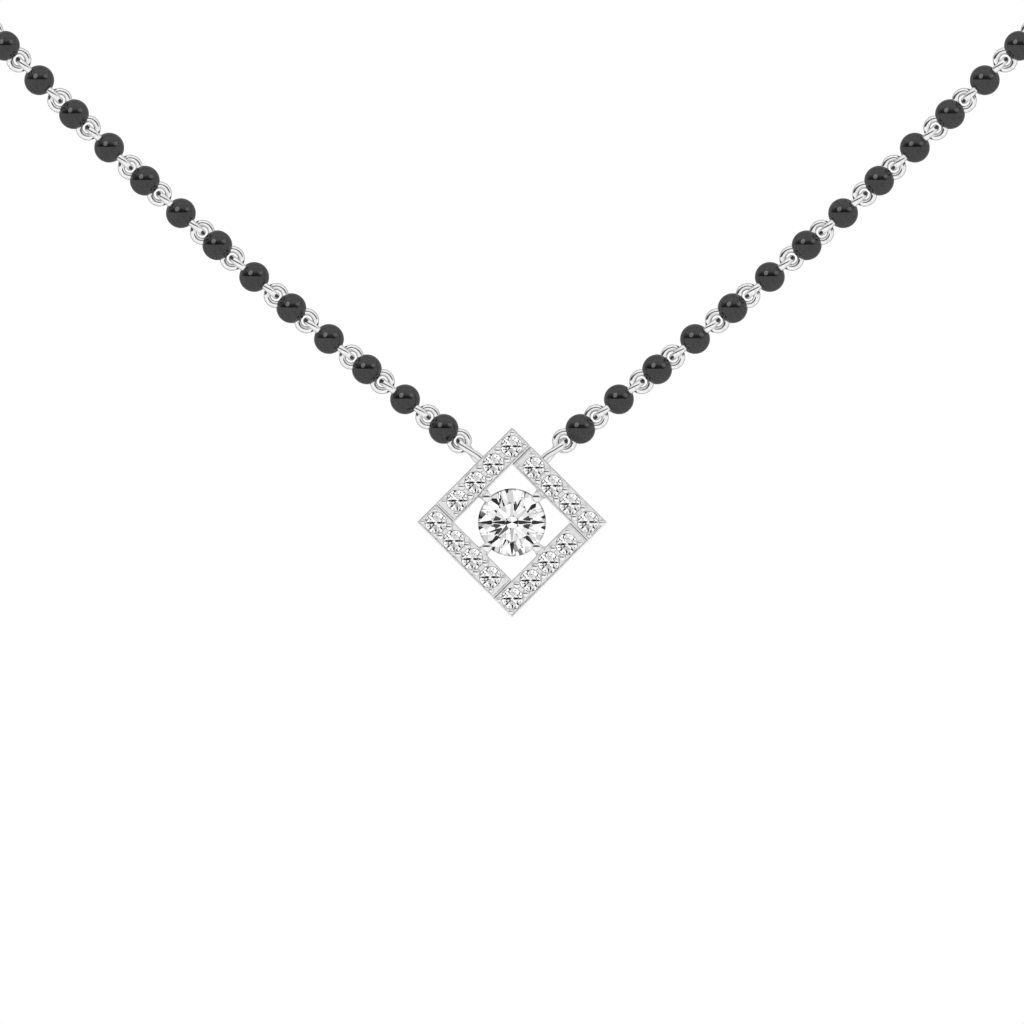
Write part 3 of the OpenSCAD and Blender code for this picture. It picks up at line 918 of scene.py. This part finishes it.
def build_world():
    """The room: light that fades towards the back, shaded by the cards. The camera sees plain white."""
    world = bpy.data.worlds.new("studio")
    world.use_nodes = True
    world.node_tree.nodes.clear()
    bpy.context.scene.world = world
    tree = Shade(world.node_tree)
    ray = tree.add("ShaderNodeTexCoord", output="Generated")
    across, away, up = split_of(tree, ray)
    degree = 180 / np.pi
    toward = 0 - away
    azimuth = tree.math("ARCTAN2", across, toward) * degree
    elevation = tree.math("ARCSINE", up) * degree

    def within(value, middle, half):
        return abs(value - middle).ramp(half - CARD_SOFTNESS, half + CARD_SOFTNESS, 1.0, 0.0)

    fade = toward.ramp(FADE_END, FADE_START, BACK_LIGHT, 1.0)
    off_axis = tree.math("ARCCOSINE", toward) * degree
    patches = noise(tree, ray, ROOM_PATCHES).ramp(*ROOM_SPAN, ROOM_DIM, ROOM_BRIGHT)
    room = FRONT_LIGHT * fade * patches
    room = room * off_axis.ramp(CAMERA_REACH / 2, CAMERA_REACH, CAMERA_LIGHT, 1.0)
    sideways = (azimuth - GAP.azimuth) * (1 / GAP.half_width)
    upwards = elevation * (1 / GAP.half_height)
    lens = (sideways * sideways * sideways * sideways + upwards * upwards).ramp(GAP_CORE, 1.0, 1.0, 0.0)
    foot = elevation.ramp(GAP.elevation - GAP_FOOT, GAP.elevation + GAP_FOOT)
    room = room * (1 - lens * foot * (1 - GAP.light))
    glints = noise(tree, ray, FACET_PATCHES).ramp(*FACET_SPAN, FACET_DIM, FACET_BRIGHT)
    facets = FACET_LIGHT * fade * glints
    for card in FACET_CARDS.values():
        inside = (within(azimuth, card.azimuth, card.half_width)
                  * within(elevation, card.elevation, card.half_height))
        facets = facets * (1 - inside) + inside * card.light
    through = tree.add("ShaderNodeLightPath", output="Is Transmission Ray")
    seen = tree.add("ShaderNodeLightPath", output="Is Camera Ray")
    strength = (room * (1 - through) + facets * through) * (1 - seen) + seen
    background = tree.add("ShaderNodeBackground", inputs={"Color": (1, 1, 1, 1), "Strength": strength})
    tree.add("ShaderNodeOutputWorld", inputs={"Surface": background})


def build_lamps():
    """Soft round lamps over the front that only the beads meet, each at its card's bearing and size."""
    beads_alone = bpy.data.collections.new("beads_alone")
    for side_name in SIDES:
        beads_alone.objects.link(bpy.data.objects[f"string_of_beads_{side_name}"])
    for name, card in LAMPS.items():
        width, height = 2 * LAMP_DISTANCE * np.tan(np.radians([card.half_width, card.half_height]))
        lamp = bpy.data.lights.new(name, "AREA")
        lamp.shape = "ELLIPSE"
        lamp.size, lamp.size_y = width, height
        lamp.energy = card.light * np.pi * width * height
        holder = bpy.data.objects.new(name, lamp)
        holder.location = FRAME_PLACE * MM + LAMP_DISTANCE * heading(card.elevation, card.azimuth - 90)
        holder.rotation_euler = np.radians([90 - card.elevation, 0, card.azimuth])
        holder.visible_camera = False
        holder.light_linking.receiver_collection = beads_alone
        bpy.context.scene.collection.objects.link(holder)


def build_floor():
    """A plain pale disc under the necklace. Polished pieces see the room's light through it."""
    material, tree, here = new_material("pale_floor")
    grain = noise(tree, here, FLOOR_SCALE)
    close_material(tree, {
        "Base Color": tinted(tree, grain, PALE_FLOOR, PALER_FLOOR),
        "Roughness": FLOOR_ROUGHNESS,
    })
    angle = np.linspace(0, 2 * np.pi, FLOOR_SIDES, endpoint=False)
    ring = FLOOR_R * np.stack([np.cos(angle), np.sin(angle), 0 * angle], -1) + [0, 0, FLOOR_Z]
    floor = mesh_of("floor", (ring, [np.arange(FLOOR_SIDES)[None, :]]))
    floor.data.materials.append(material)
    floor.visible_glossy = False
    floor.visible_transmission = False


def build_camera():
    """A very long lens, straight on, that spans what the photo spans where the strand lies."""
    camera = bpy.data.cameras.new("camera")
    camera.lens = 1200.0
    camera.sensor_width = 36.0
    camera.clip_start = 0.1
    camera.clip_end = 20.0
    holder = bpy.data.objects.new("camera", camera)
    distance = PHOTO_SPAN * camera.lens / camera.sensor_width
    holder.location = np.array([0, -NAPE[1] - distance, PHOTO_MIDDLE_Z]) * MM
    holder.rotation_euler = (np.pi / 2, 0, 0)
    bpy.context.scene.collection.objects.link(holder)
    bpy.context.scene.camera = holder


build_world()
build_lamps()
build_floor()
build_camera()
scene = bpy.context.scene
scene.view_settings.view_transform = "Standard"
scene.cycles.max_bounces = 24
scene.cycles.glossy_bounces = 16
scene.cycles.transmission_bounces = 16
